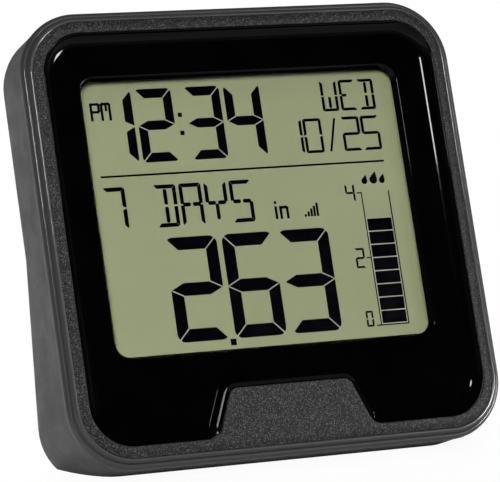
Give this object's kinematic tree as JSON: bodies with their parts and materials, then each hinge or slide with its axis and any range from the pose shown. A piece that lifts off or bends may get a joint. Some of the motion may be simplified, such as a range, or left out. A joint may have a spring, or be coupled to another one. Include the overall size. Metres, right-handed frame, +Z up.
{
  "type": "wireless rain gauge display",
  "caption": "Square leaning desk display of a wireless rain gauge: black dished front, reflective screen, rear keys, battery door and fold-out stand.",
  "frame": {"origin": "middle of the flat base that rests on the table", "axes": "+X to the right of someone reading the screen, +Y away from the reader towards the back, +Z up from the table; the face leans back"},
  "size_m": [0.114, 0.0577, 0.1085],
  "materials": {
    "front_case": "satin moulded",
    "front_trim": "metallic speckle paint",
    "window_bezel": "piano black",
    "lens_tape": "adhesive tape",
    "lens": "clear acrylic",
    "lcd_front_film": "polarising film",
    "lcd_front_glass": "clear",
    "lcd_rear_glass": "clear",
    "lcd_reflector": "grey-green reflective film",
    "lcd_holder": "moulded",
    "zebra_strip": "layered elastomer",
    "main_board": "solder mask",
    "board_screws": "plated",
    "chip_blob": "resin",
    "clock_crystal": "plated can",
    "electrolytic_capacitor": "sleeved",
    "chip_capacitors": "fired",
    "chip_resistors": "coated",
    "receiver_board": "solder mask",
    "receiver_pins": "gilt",
    "receiver_chip": "moulded",
    "receiver_crystal": "plated can",
    "antenna_wire": "insulated wire",
    "switch_bodies": "moulded",
    "plungers": "moulded",
    "keys": "satin moulded",
    "rear_case": "satin moulded",
    "case_screws": "blackened",
    "battery_door": "satin moulded",
    "stand": "satin moulded",
    "upper_cell": "plain printed sleeve",
    "lower_cell": "plain printed sleeve",
    "plus_contact": "nickel plated",
    "minus_contact": "nickel plated",
    "link_contact": "nickel plated",
    "battery_springs": "nickel plated",
    "plus_lead": "insulated wire",
    "minus_lead": "insulated wire"
  },
  "bodies": {
    "case": {"front_case": "front_case", "front_trim": "front_trim", "window_bezel": "window_bezel", "lens_tape": "lens_tape", "lens": "lens", "lcd_front_film": "lcd_front_film", "lcd_front_glass": "lcd_front_glass", "lcd_rear_glass": "lcd_rear_glass", "lcd_reflector": "lcd_reflector", "lcd_holder": "lcd_holder", "zebra_strip": "zebra_strip", "main_board": "main_board", "board_screws": "board_screws", "chip_blob": "chip_blob", "clock_crystal": "clock_crystal", "electrolytic_capacitor": "electrolytic_capacitor", "chip_capacitors": "chip_capacitors", "chip_resistors": "chip_resistors", "receiver_board": "receiver_board", "receiver_pins": "receiver_pins", "receiver_chip": "receiver_chip", "receiver_crystal": "receiver_crystal", "antenna_wire": "antenna_wire", "switch_bodies": "switch_bodies", "rear_case": "rear_case", "case_screws": "case_screws", "upper_cell": "upper_cell", "lower_cell": "lower_cell", "plus_contact": "plus_contact", "minus_contact": "minus_contact", "link_contact": "link_contact", "battery_springs": "battery_springs", "plus_lead": "plus_lead", "minus_lead": "minus_lead"},
    "stand": {"stand": "stand"},
    "door": {"battery_door": "battery_door"},
    "set_button": {"set_key": "keys", "set_plunger": "plungers"},
    "mode_button": {"mode_key": "keys", "mode_plunger": "plungers"},
    "plus_button": {"plus_key": "keys", "plus_plunger": "plungers"},
    "reset_button": {"reset_key": "keys", "reset_plunger": "plungers"}
  },
  "joints": [
    {"name": "stand_hinge", "type": "hinge", "parent": "case", "child": "stand", "pos_m": [0, 0.01662, 0.04626], "axis": [1, 0, 0], "range_deg": [-17.22, 0]},
    {"name": "door_tilt", "type": "hinge", "parent": "case", "child": "door", "pos_m": [0, 0.00991, 0.00733], "axis": [-1, 0, 0], "range_deg": [0, 50]},
    {"name": "set_press", "type": "slide", "parent": "case", "child": "set_button", "axis": [0, -0.9317, 0.3633], "range_m": [0, 0.0006], "stiffness_N_per_m": 400, "springref_m": -0.0005},
    {"name": "mode_press", "type": "slide", "parent": "case", "child": "mode_button", "axis": [0, -0.9317, 0.3633], "range_m": [0, 0.0006], "stiffness_N_per_m": 400, "springref_m": -0.0005},
    {"name": "plus_press", "type": "slide", "parent": "case", "child": "plus_button", "axis": [0, -0.9317, 0.3633], "range_m": [0, 0.0006], "stiffness_N_per_m": 400, "springref_m": -0.0005},
    {"name": "reset_press", "type": "slide", "parent": "case", "child": "reset_button", "axis": [0, -0.9317, 0.3633], "range_m": [0, 0.0006], "stiffness_N_per_m": 400, "springref_m": -0.0005}
  ]
}
